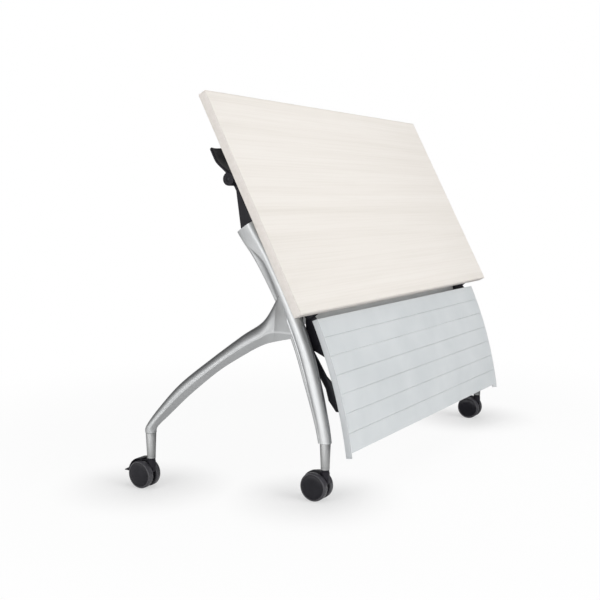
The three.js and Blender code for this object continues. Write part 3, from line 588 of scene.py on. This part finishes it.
def cross_beam():
    beam_y = (FLIP @ Vector((0, HINGE_Y, HINGE_Z))).y + HINGE_R + BEAM_CLEAR + FLANGE_R
    centre, (bar, _, tail, *_) = column_at(column_share_at(beam_y - BEAM_BEHIND))
    end = COLUMN_X + bar + FLANGE_THICK + 2 * GAP
    start = COLUMN_X + tail
    inner = BEAM_R - BEAM_WALL
    at = (0, beam_y, centre.z)
    tube = turned([(BEAM_R, end), (BEAM_R, -end), (inner, -end), (inner, end)], at, "X", 64, True)
    fit(build("beam_tube", tube), "frame", BEAM, ["cross_beam"])
    face = end - GAP
    flange = build("flange", turned([
        (0, start), (FLANGE_R, start), (FLANGE_R, face - 1.2), (FLANGE_R - 0.35, face - 0.35),
        (FLANGE_R - 1.2, face), (BEAM_R + 0.5, face), (BEAM_R + 0.5, face + 3), (BEAM_R + 0.1, face + 3.4),
        (inner - GAP, face + 3.4), (inner - GAP, face + 20), (0, face + 20),
    ], at, "X"))
    both(flange, "beam_collar_{}", "frame", BLACK, ["beam_flange_{}"])


# Pieces on the top.
def edge_band():
    half, front = TOP_LENGTH / 2, FRONT_EDGE
    back = FRONT_EDGE + TOP_DEPTH
    ease = 0.8
    corners = [(half, front, -90), (half, back, 0), (-half, back, 90), (-half, front, 180)]
    section = [(EDGE_BAND, 0)]
    section += [(ease - ease * math.sin(a), ease - ease * math.cos(a)) for a in (0, 0.5, 1.05, 1.57)]
    section += [(inset, TOP_THICK - rise) for inset, rise in reversed(section)]
    rings = []
    for x, y, start in corners:
        cx, cy = x - math.copysign(EDGE_BAND, x), y + (EDGE_BAND if y == front else -EDGE_BAND)
        for step in range(0, 91, 15):
            a = math.radians(start + step)
            ring = []
            for inset, rise in section:
                r = EDGE_BAND - inset
                ring.append((cx + r * math.cos(a), cy + r * math.sin(a), PIVOT_DROP + rise))
            rings.append(ring)
    fit(build("edge_strip", skin(rings, True), FLIP), "top", EDGING, ["edge_band"])


def screw(name, at, body, r=4.2, height=2.4):
    place = FLIP @ Matrix.Translation(at)
    head = build("screw", turned([
        (0, 0.2), (r, 0.2), (r, -0.5), (0.85 * r, -0.65 * height), (0.55 * r, -height), (0, -height),
    ], sides=24), place)
    socket = build("socket", turned([(1.6, -height + 1.4), (1.6, -height - 1)], sides=6), place)
    both(combine(head, socket, "DIFFERENCE"), name, body, STEEL)


def hinge_arms():
    x = COLUMN_X - ARM_THICK / 2
    low = PIVOT_DROP - GAP - PLATE_THICK
    outline = [
        (-0.84 * HUB_R, 0.5 * HUB_R), (-0.4 * HUB_R, -0.9 * HUB_R), (0.25 * HUB_R, -0.965 * HUB_R),
        (1.1 * HUB_R, -0.9 * HUB_R), (0.8 * LEVER_REACH, LEVER_RISE - 0.53 * BARREL_R),
        (LEVER_REACH + 0.12 * BARREL_R, LEVER_RISE - 0.65 * BARREL_R),
        (LEVER_REACH + 0.65 * BARREL_R, LEVER_RISE - 0.18 * BARREL_R),
        (LEVER_REACH + 0.76 * BARREL_R, LEVER_RISE + 0.7 * BARREL_R),
        (LEVER_REACH + 0.8 * PLATE_BEHIND, low + SINK), (-0.25 * HUB_R, low + SINK),
    ]
    arm = soften(build("arm", slab(outline, x, ARM_THICK), FLIP), 1.6)
    hub = build("hub", turned([
        (0, 0), (HUB_R - 1.5, 0), (HUB_R - 0.4, 0.4), (HUB_R, 1.5), (HUB_R, ARM_THICK - 1.5),
        (HUB_R - 0.4, ARM_THICK - 0.4), (HUB_R - 1.5, ARM_THICK), (0, ARM_THICK),
    ], (x, 0, 0), "X"), FLIP)
    combine(arm, hub, "UNION")
    wide, behind = PLATE_WIDTH / 2, LEVER_REACH + PLATE_BEHIND
    plate = block(COLUMN_X - wide, COLUMN_X + wide, -1.6 * HUB_R, behind, low, PIVOT_DROP - GAP)
    combine(arm, soften(build("plate", plate, FLIP), 1.5), "UNION")
    both(arm, "hinge_arm_moulding_{}", "top", BLACK, ["hinge_arm_{}"])
    for k, y in enumerate(ARM_SCREW_ROWS):
        for j, off in enumerate((-ARM_SCREW_OFF, ARM_SCREW_OFF)):
            screw(f"arm_screw_{k}{j}_{{}}", (COLUMN_X + off, y, low), "top")


def paddle_ring(share):
    middle = LEVER_X - BARREL_WIDTH / 2
    spread = smoothstep(share, 0.15, 0.6)
    past = max(0, 1 - (1 - share) * PADDLE_REACH / PADDLE_CORNER)
    corner = 1 - math.sqrt(1 - past * past)
    half = lerp(BARREL_WIDTH, PADDLE_WIDTH, spread) / 2 - PADDLE_CORNER * corner
    thick = PADDLE_THICK / 2 * (1 - 0.4 * corner)
    drop = PADDLE_DROP * math.cos(math.pi * min(share / PADDLE_BEND, 1))
    ring = []
    for k in range(48):
        a = math.tau * k / 48
        u = math.copysign(abs(math.cos(a)) ** 0.35, math.cos(a))
        v = math.copysign(abs(math.sin(a)) ** 0.5, math.sin(a))
        rise = drop + v * thick - PADDLE_DISH * spread * (1 - u * u)
        ring.append((middle + u * half, LEVER_REACH + PADDLE_REACH * share, LEVER_RISE + rise))
    return ring


def levers():
    width, r = BARREL_WIDTH, BARREL_R
    at = (LEVER_X - width, LEVER_REACH, LEVER_RISE)
    barrel = build("barrel", turned([
        (0, 2.2), (5.5, 2.2), (6.2, 1.6), (6.8, 0.7), (8, 0.5), (r - 3, 0), (r - 1.2, 0.5),
        (r - 0.3, 1.5), (r, 3), (r, width - 2), (r - 0.5, width - 0.5), (r - 2, width), (0, width),
    ], at, "X"), FLIP)
    paddle = build("paddle", skin([paddle_ring(math.sin(t * math.pi / 2)) for t in shares(40)]), FLIP)
    combine(barrel, paddle, "UNION")
    both(barrel, "lever_moulding_{}", "lever_{}", BLACK, ["release_lever_{}"])


def round_pin(name, x0, x1, y, z, r, node):
    ease = 0.25 * r
    profile = [(0, x0), (r - ease, x0), (r - 0.3 * ease, x0 + 0.3 * ease), (r, x0 + ease)]
    profile += [(r, x1 - ease), (r - 0.3 * ease, x1 - 0.3 * ease), (r - ease, x1), (0, x1)]
    both(build("pin", turned(profile, (0, y, z), "X", 40), FLIP), name, "top", DARK_STEEL, [node])


def pins():
    start, end = LEVER_X - BARREL_WIDTH + PIN_PROUD, COLUMN_X + ARM_THICK / 2 + PIN_PROUD
    round_pin("lever_pin_steel_{}", start, end, LEVER_REACH, LEVER_RISE, LEVER_PIN_R, "lever_pin_{}")
    reach = BRACE_THICK / 2 + RUN + EAR_THICK + PIN_PROUD
    start, end = BRACE_X - reach, BRACE_X + reach
    round_pin("panel_pin_steel_{}", start, end, HINGE_Y, HINGE_Z, HINGE_PIN_R, "panel_pin_{}")


def panel_hinges():
    base = PIVOT_DROP - GAP - PLATE_THICK
    front = HINGE_Y - 0.5 * HINGE_R
    outer = BRACE_X - BRACE_THICK / 2 - RUN - EAR_THICK
    inner = BRACE_X + BRACE_THICK / 2 + RUN
    eye = arc(HINGE_Y, HINGE_Z, HINGE_R, 180, 340, 12)
    ear = [(front, base + SINK), *eye, (HINGE_Y + 2 * HINGE_R, base + SINK)]
    plate = block(outer, inner + EAR_THICK, front, HINGE_Y + 4 * HINGE_R, base, PIVOT_DROP - GAP)
    hinge = soften(build("hinge", plate, FLIP), 0.8)
    for x in (outer, inner):
        combine(hinge, soften(build("ear", slab(ear, x, EAR_THICK), FLIP), 0.7), "UNION")
    both(hinge, "panel_hinge_moulding_{}", "top", BLACK, ["panel_hinge_{}"])
    screw("hinge_screw_{}", (BRACE_X, HINGE_Y + 3.1 * HINGE_R, base), "top", 3.6)


# Modesty panel.
BOW_R = (PANEL_CHORD ** 2 / 4 + PANEL_BOW ** 2) / (2 * PANEL_BOW)
BOW_HALF = math.asin(PANEL_CHORD / 2 / BOW_R)
TILT = math.radians(PANEL_TILT)
DOWN = (-math.sin(TILT), -math.cos(TILT))
REAR = (-DOWN[1], DOWN[0])
BOW_Y = -PANEL_AHEAD + PANEL_CHORD / 2 * DOWN[0] + (BOW_R - PANEL_BOW) * REAR[0]
BOW_Z = -PANEL_BELOW + PANEL_CHORD / 2 * DOWN[1] + (BOW_R - PANEL_BOW) * REAR[1]
CAP_X = -PANEL_LENGTH / 2 + CAP_THICK


def bowed(depth, turn):
    r, c, s = BOW_R - depth, math.cos(turn), math.sin(turn)
    return BOW_Y + r * (DOWN[0] * s - REAR[0] * c), BOW_Z + r * (DOWN[1] * s - REAR[1] * c)


def bowed_run(depth, start, end, steps):
    return [bowed(depth, lerp(start, end, t)) for t in shares(steps)]


def bow_share(share):
    return BOW_HALF * (2 * share - 1)


def slat_edge(i):
    return bow_share(min(i / (SLATS - 1 + LAST_SLAT), 1))


def slats():
    start = CAP_X + GAP
    for i in range(SLATS):
        top, low = slat_edge(i) + GAP / 2 / BOW_R, slat_edge(i + 1) - GAP / 2 / BOW_R
        lip, ease, sink = SLAT_LIP / BOW_R, 2.2 * SLAT_CHAMFER / BOW_R, 1.4 * SLAT_CHAMFER
        rounding = [(sink * (1 - math.sin(a)), ease * (1 - math.cos(a))) for a in (0, 0.4, 0.8, 1.2)]
        round_top = [bowed(depth, top + turn) for depth, turn in rounding]
        round_low = [bowed(depth, low - turn) for depth, turn in reversed(rounding)]
        outline = [
            *round_top, *bowed_run(0, top + ease, low - ease, 8), *round_low, bowed(SLAT_DEPTH, low),
            bowed(SLAT_DEPTH, low - lip), *bowed_run(SLAT_SKIN, low - lip, top + lip, 8),
            bowed(SLAT_DEPTH, top + lip), bowed(SLAT_DEPTH, top),
        ]
        slat = build(f"slat_profile_{i + 1}", slab(outline, start, -2 * start), PANEL_PLACE)
        fit(slat, "panel", SILVER, [f"panel_slat_{i + 1}"], 25)


def end_caps():
    low = BOW_HALF + CAP_OVERHANG / BOW_R
    outline = bowed_run(0, -BOW_HALF, low, 40) + bowed_run(CAP_DEPTH, low, -BOW_HALF, 40)
    rim = 0.45 * CAP_THICK
    # The cap body wears the darker copy of the silver: painted shade.
    cap = soften(build("cap", slab(outline, CAP_X - CAP_THICK, CAP_THICK - rim), PANEL_PLACE), 0.7)
    both(cap, "end_cap_{}", "panel", CAP_SHADED_SILVER, ["panel_cap_{}"])
    # The thin bead along the cap's front wears the lighter silver: painted highlight on the edge.
    bead = soften(build("rim", slab(outline, CAP_X - rim, rim), PANEL_PLACE), 0.6)
    both(bead, "cap_rim_{}", "panel", RIM_HIGHLIGHT_SILVER)


def braces():
    x = BRACE_X - BRACE_THICK / 2
    seat = SLAT_DEPTH + GAP

    def at(depth, share):
        return bowed(depth, bow_share(share))

    def run(depth, start, end, steps):
        return [at(depth, lerp(start, end, t)) for t in shares(steps)]

    outline = [
        (-0.4 * HINGE_R, 0.9 * HINGE_R), *run(seat, 0.04, BRACE_FOOT, 24),
        at(seat + 0.65 * STRUT_FOOT, BRACE_FOOT - 0.02), at(seat + STRUT_FOOT, BRACE_FOOT - 0.11),
        at(seat + STRUT_FOOT, BRACE_FOOT - 0.2), at(seat + STRUT_STANDOFF, 0.18), (0.98 * HINGE_R, 0),
    ]
    opening = [
        at(seat + RAIL_WIDTH, 0.3), *run(seat + RAIL_WIDTH, 0.36, 0.52, 6),
        at(seat + 0.75 * STRUT_FOOT, 0.41), at(seat + STRUT_STANDOFF - STRUT_WIDTH, 0.19),
    ]
    end = x + BRACE_THICK
    plate = build("brace", slab(outline, x, BRACE_THICK), PANEL_PLACE)
    window = build("window", slab(opening, x - PAST, BRACE_THICK + 2 * PAST), PANEL_PLACE)
    combine(plate, window, "DIFFERENCE")
    combine(plate, build("hub", rod(HINGE_R, x, end), PANEL_PLACE), "UNION")
    bore = build("bore", rod(HINGE_PIN_R + RUN, x - PAST, end + PAST), PANEL_PLACE)
    combine(plate, bore, "DIFFERENCE")
    both(soften(plate, 0.7, 2), "brace_moulding_{}", "panel", BLACK, ["panel_brace_{}"])


# Casters.
def wheel_room(x, y, side):
    start = WHEEL_SPACING / 2 - RUN
    end = start + ROOM_DEPTH
    return build("room", rod(
        WHEEL_R + WHEEL_ROOM, side * start, side * end, (x, y + TRAIL, WHEEL_R), 96
    ))


def hood(x, y):
    web = WHEEL_SPACING - 5 * RUN
    top = FOOT_GROUND - GAP
    outline = arc(TRAIL, WHEEL_R, HOOD_R, 20, 118, 40) + [(-NECK_R, top - 6), (-NECK_R, WHEEL_R + 14)]
    outline += arc(TRAIL, WHEEL_R, HOOD_EYE_R, 180, 320, 24)
    plate = build("hood", slab([(y + a, b) for a, b in outline], x - web / 2, web))
    soften(plate, 0.8)
    neck = build("neck", turned([
        (0, WHEEL_R + 8), (NECK_R - 2, WHEEL_R + 8), (NECK_R, WHEEL_R + 12), (NECK_R, top - 4),
        (NECK_R - 0.6, top - 3.6), (NECK_R - 0.6, top - 2.8), (NECK_R, top - 2.4), (NECK_R, top - 1.2),
        (NECK_R - 1.2, top), (0, top),
    ], (x, y, 0)))
    combine(plate, neck, "UNION")
    for side in (1, -1):
        combine(plate, wheel_room(x, y, side), "DIFFERENCE")
    return plate


def wheel_part(x, y, side, profile):
    points = [(p, side * (WHEEL_SPACING / 2 + h)) for p, h in profile]
    return build("wheel", turned(points, (x, y + TRAIL, WHEEL_R), "X", 96, True))


def wheel_disc(x, y, side):
    r, w = WHEEL_R, WHEEL_WIDTH
    return wheel_part(x, y, side, [
        (AXLE_R + RUN, 0), (r - 7.6, 0), (r - 7.6, w - 3), (r - 5.7, w - 1.5), (r - 6.3, w - 1.2),
        (r - 7, w - 0.85), (0.45 * r, w - 0.45), (0.2 * r, w - 0.32), (0, w - 0.3), (0, w - 3.5),
        (AXLE_R + RUN, w - 3.5),
    ])


def wheel_tread(x, y, side):
    r, w = WHEEL_R, WHEEL_WIDTH
    return wheel_part(x, y, side, [
        (r - 7.5, 0), (r - 4, 0), (r - 2, 0.3), (r - 0.8, 1.1), (r - 0.15, 2.4), (r, 4), (r, w - 6),
        (r - 0.15, w - 4.6), (r - 0.6, w - 3), (r - 1.4, w - 1.5), (r - 2.4, w - 0.5), (r - 3.4, w),
        (r - 4.4, w), (r - 4.9, w - 0.25), (r - 5.2, w - 1.1), (r - 5.7, w - 1.6), (r - 7.5, w - 3.1),
    ])


def pedal(x, y):
    inner = HOOD_R + RUN
    tip = TRAIL + inner + PEDAL_TAB
    low = WHEEL_R + inner * math.sin(math.radians(5))
    outline = arc(TRAIL, WHEEL_R, inner, 96, 5, 28)
    outline += [(tip - SINK, low), (tip, low + 0.6 * PEDAL_THICK)]
    outline += [(tip - 0.7 * PEDAL_TAB, low + 2.4 * PEDAL_THICK)]
    outline += arc(TRAIL, WHEEL_R, inner + PEDAL_THICK, 18, 96, 24)
    strip = build("pedal", slab([(y + a, b) for a, b in outline], x - PEDAL_WIDTH / 2, PEDAL_WIDTH))
    return soften(strip, 0.9)


def casters():
    for end, x, y in ENDS:
        tag = f"caster_{end}_{{}}"
        both(hood(x, y), f"hood_moulding_{end}_{{}}", tag, BLACK, [tag + "_hood"])
        for place, side in (("inner", 1), ("outer", -1)):
            body = f"{tag}_wheel_{place}"
            both(wheel_disc(x, y, side), f"wheel_disc_{end}_{{}}_{place}", body, WHEEL, [body], 30)
            both(wheel_tread(x, y, side), f"wheel_tread_{end}_{{}}_{place}", body, TREAD, (), 30)
        if end == "rear":
            both(pedal(x, y), "pedal_moulding_{}", tag + "_pedal", BLACK, [tag + "_pedal"])


def cad_finishes():
    for name, node in NODES.items():
        steel = name.endswith(("_stem", "_axle")) or name.startswith("pivot_pin")
        if steel or name == "worktop":
            node.data.materials.clear()
            node.data.materials.append(STEEL[1] if steel else LAMINATE[1])


# Studio, in metres. WINDOW, BACKDROP and FLOOR_GLOW are directions from the middle.
WINDOW = (-0.99, 0.139, 0)
BACKDROP = (0.851, 0.526, 0)
FLOOR_GLOW = (-0.996, -0.087, 0)
SKY_STRENGTH = 2.9
FLOOR_RADIUS, POOL_REACH = 40, 8
SHADOW_REACH, FADE_REACH = (0.02, 0.26), (0.6, 1.8)
EYE, LOOK, LENS = (-2.4210, -1.3229, 0.7403), (0.8456, 0.5225, -0.1090), 55.35


def lamp(name, at, aim, size, watts):
    data = bpy.data.lights.new(name, "AREA")
    data.shape = "DISK"
    data.size = size
    data.energy = watts
    obj = bpy.data.objects.new(name, data)
    obj.location = at
    obj.rotation_euler = (Vector(aim) - Vector(at)).to_track_quat("-Z", "Y").to_euler()
    obj.visible_glossy = False
    bpy.context.scene.collection.objects.link(obj)


# A bright window on the left, a dim right and a dark ceiling; the camera sees plain white.
def world():
    sky = bpy.data.worlds.new("studio")
    bpy.context.scene.world = sky
    sky.use_nodes = True
    tree = sky.node_tree
    where = tree.nodes.new("ShaderNodeTexCoord").outputs["Generated"]
    split = tree.nodes.new("ShaderNodeSeparateXYZ")
    tree.links.new(where, split.inputs[0])
    height = greys(tree, split.outputs["Z"], [
        (0, 0.5), (0.03, 0.7), (0.07, 1), (0.12, 0.8), (0.2, 0.36), (0.4, 0.17), (1, 0.06),
    ])
    turn = scaled(tree, vector_maths(tree, "DOT_PRODUCT", where, WINDOW), 0, 1, -1, 1)
    around = greys(tree, turn, [
        (0.1, 0.06), (0.41, 0.13), (0.58, 0.25), (0.72, 0.44), (0.84, 0.66), (0.93, 0.86), (0.985, 1),
    ])
    behind = vector_maths(tree, "DOT_PRODUCT", where, BACKDROP)
    backdrop = greys(tree, behind, [(0.55, 0), (0.9, 0.2)])
    studio = mixed(tree, 1.0, mixed(tree, 1.0, height, around, "MULTIPLY"), backdrop, "LIGHTEN")
    camera_ray = tree.nodes.new("ShaderNodeLightPath").outputs["Is Camera Ray"]
    white = greys(tree, camera_ray, [(0, 0), (1, 1 / SKY_STRENGTH)])
    background = tree.nodes["Background"]
    tree.links.new(mixed(tree, camera_ray, studio, white), background.inputs["Color"])
    background.inputs["Strength"].default_value = SKY_STRENGTH


# How near a spot of the floor is to a caster: 1 at the wheels, 0 well away from them.
def caster_nearness(tree, where):
    split = tree.nodes.new("ShaderNodeSeparateXYZ")
    tree.links.new(where, split.inputs[0])
    spot = tree.nodes.new("ShaderNodeCombineXYZ")
    tree.links.new(maths(tree, "ABSOLUTE", split.outputs["X"]), spot.inputs["X"])
    tree.links.new(split.outputs["Y"], spot.inputs["Y"])
    wheels = [(-x * MM, (y + TRAIL) * MM, 0) for _, x, y in ENDS]
    reaches = [vector_maths(tree, "DISTANCE", spot.outputs[0], wheel) for wheel in wheels]
    return scaled(tree, maths(tree, "MINIMUM", *reaches), 1, 0, *SHADOW_REACH, "SMOOTHSTEP")


# A pale floor that the camera sees as white, with soft shadows by the casters, deepened there by painted
# shade.
# Metal sees it as a lit pool, brightest towards the window.
def floor():
    bm = bmesh.new()
    bmesh.ops.create_circle(bm, cap_ends=True, segments=96, radius=FLOOR_RADIUS)
    mesh = bpy.data.meshes.new("floor")
    bm.to_mesh(mesh)
    bm.free()
    obj = bpy.data.objects.new("floor", mesh)
    bpy.context.scene.collection.objects.link(obj)
    material, tree, bsdf = shader("floor", 0.0, 0.6, Specular_IOR_Level=0.1)
    rays = tree.nodes.new("ShaderNodeLightPath").outputs
    where = tree.nodes.new("ShaderNodeTexCoord").outputs["Object"]
    away = vector_maths(tree, "LENGTH", where)
    toward = vector_maths(tree, "DOT_PRODUCT", vector_maths(tree, "NORMALIZE", where), FLOOR_GLOW)
    across = scaled(tree, toward, 0, 1, -1, 1)
    tint = greys(tree, rays["Is Diffuse Ray"], [(0, 0.95), (1, 0.75)])
    # For metal the floor's own colour is darker away from the window: painted light on the floor.
    mirrored_pool_shading = greys(tree, across, [(0.2, 0.35), (0.6, 0.6), (0.95, 0.95)])
    tree.links.new(mixed(tree, rays["Is Glossy Ray"], tint, mirrored_pool_shading), bsdf.inputs["Base Color"])
    far = scaled(tree, away, 0, 1, 0, POOL_REACH)
    pool = greys(tree, far, [(0.09, 0), (0.19, 1), (0.4, 1), (0.8, 0.5)])
    mirrored_pool = maths(tree, "MULTIPLY", pool, rays["Is Glossy Ray"])
    tree.links.new(mirrored_pool, bsdf.inputs["Emission Strength"])
    mirrored_glow = greys(tree, across, [(0.45, 0.02), (0.72, 0.17), (0.93, 0.6), (0.985, 0.85)])
    tree.links.new(mirrored_glow, bsdf.inputs["Emission Color"])
    fade = scaled(tree, away, 0.92, 1, *FADE_REACH, "SMOOTHSTEP")
    # Near the casters less of the white glow shows: painted shade around each caster, over the real shadow.
    painted_caster_shade = scaled(tree, caster_nearness(tree, where), 1, 0.55)
    seen = maths(tree, "MULTIPLY", maths(tree, "MULTIPLY", fade, painted_caster_shade), rays["Is Camera Ray"])
    glow = tree.nodes.new("ShaderNodeEmission")
    mix = tree.nodes.new("ShaderNodeMixShader")
    for value, socket in zip((seen, bsdf.outputs[0], glow.outputs[0]), mix.inputs):
        tree.links.new(value, socket)
    tree.links.new(mix.outputs[0], tree.nodes["Material Output"].inputs["Surface"])
    mesh.materials.append(material)


def camera():
    data = bpy.data.cameras.new("camera")
    data.sensor_width = 36
    data.lens = LENS
    data.clip_end = 200
    obj = bpy.data.objects.new("camera", data)
    obj.location = EYE
    obj.rotation_euler = Vector(LOOK).to_track_quat("-Z", "Y").to_euler()
    bpy.context.scene.collection.objects.link(obj)
    bpy.context.scene.camera = obj


columns()
rear_legs()
feet()
cross_beam()
edge_band()
hinge_arms()
levers()
pins()
panel_hinges()
slats()
end_caps()
braces()
casters()
cad_finishes()
world()
floor()
lamp("key", at=(-0.2, -3.9, 1.7), aim=(0, 0, 0.5), size=3.0, watts=116)
lamp("top", at=(0, -0.2, 3.4), aim=(0, 0, 0.6), size=3.0, watts=38)
lamp("left", at=(-3.6, 0.4, 1.4), aim=(-0.4, 0, 0.4), size=2.4, watts=35)
camera()
bpy.context.scene.view_settings.view_transform = "Standard"
